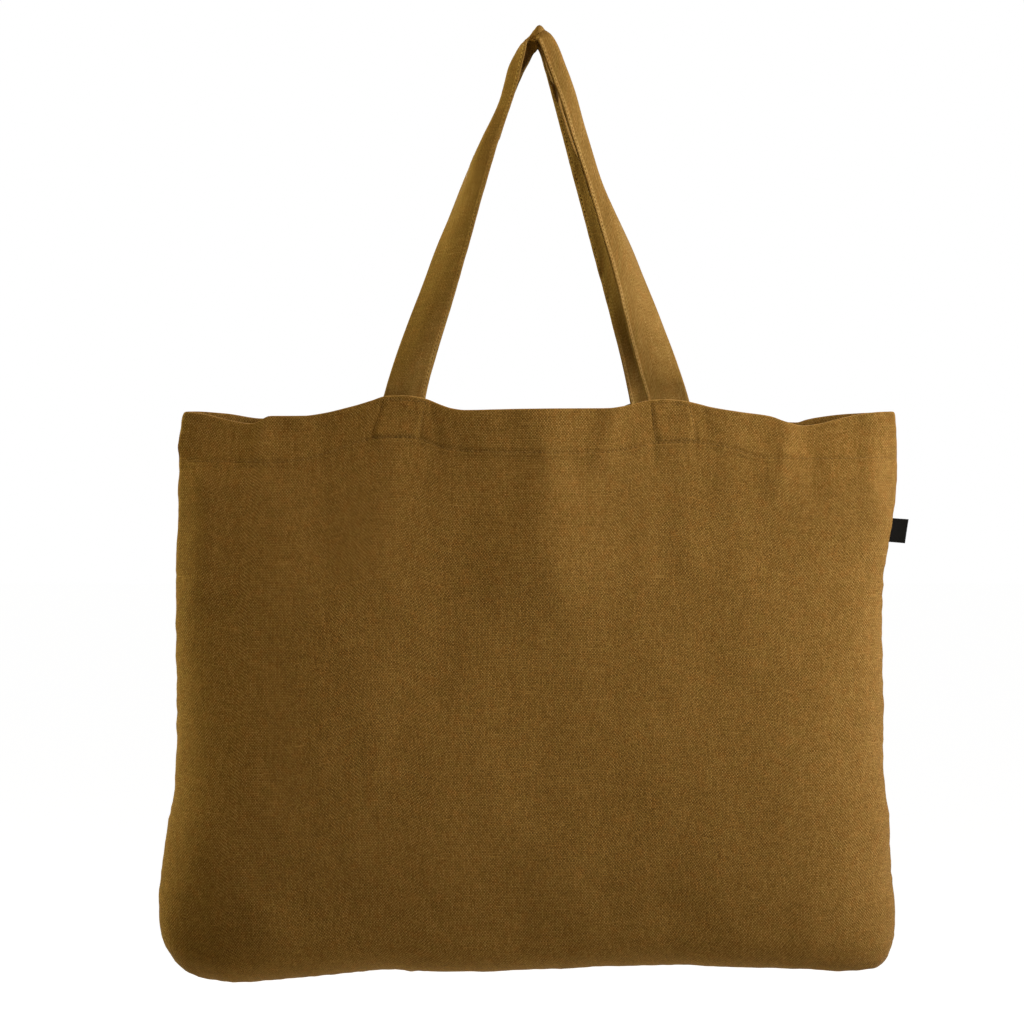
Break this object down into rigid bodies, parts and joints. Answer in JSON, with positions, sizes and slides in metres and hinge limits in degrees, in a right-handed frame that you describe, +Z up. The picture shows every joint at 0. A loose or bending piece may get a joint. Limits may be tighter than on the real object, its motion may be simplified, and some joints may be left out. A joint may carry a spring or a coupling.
{
  "type": "tote bag",
  "caption": "Large soft linen tote bag with a wide turned hem, a boxed bottom and carrying straps sewn inside the hem, hung from its folded straps.",
  "frame": {"origin": "the point that the bag hangs from, under the folds of both straps", "axes": "+Z up, +X to the right as seen from the front, the front faces -Y"},
  "size_m": [0.6753, 0.14, 0.8625],
  "materials": {
    "linen": "heavy plain-woven linen, mustard brown, matt",
    "strap_linen": "the same linen folded into a flat band, matt",
    "thread": "sewing thread of the cloth's colour, a little lighter",
    "label_ribbon": "black satin-woven ribbon, bare"
  },
  "bodies": {
    "bag": {"front_panel": "linen", "back_panel": "linen", "front_left_strap_end": "strap_linen", "front_right_strap_end": "strap_linen", "back_left_strap_end": "strap_linen", "back_right_strap_end": "strap_linen", "front_hem_stitching": "thread", "back_hem_stitching": "thread", "front_left_tack_stitching": "thread", "front_right_tack_stitching": "thread", "back_left_tack_stitching": "thread", "back_right_tack_stitching": "thread", "left_side_seam": "linen", "right_side_seam": "linen", "bottom_seam": "linen", "left_corner_seam": "linen", "right_corner_seam": "linen"},
    "front_strap": {"front_strap": "strap_linen", "front_strap_stitching": "thread"},
    "back_strap": {"back_strap": "strap_linen", "back_strap_stitching": "thread"},
    "label": {"label_tab": "label_ribbon"}
  },
  "joints": [
    {"name": "front_strap_swing", "type": "hinge", "parent": "bag", "child": "front_strap", "pos_m": [0, -0.02772, -0.337], "axis": [1, 0, 0], "range_deg": [0, 165]},
    {"name": "back_strap_swing", "type": "hinge", "parent": "bag", "child": "back_strap", "pos_m": [0, 0.02805, -0.337], "axis": [1, 0, 0], "range_deg": [-165, 0]},
    {"name": "label_flap", "type": "hinge", "parent": "bag", "child": "label", "pos_m": [0.32581, 0, -0.447], "axis": [0, 0, 1], "range_deg": [-75, 75], "stiffness_Nm_per_rad": 0.0005}
  ]
}
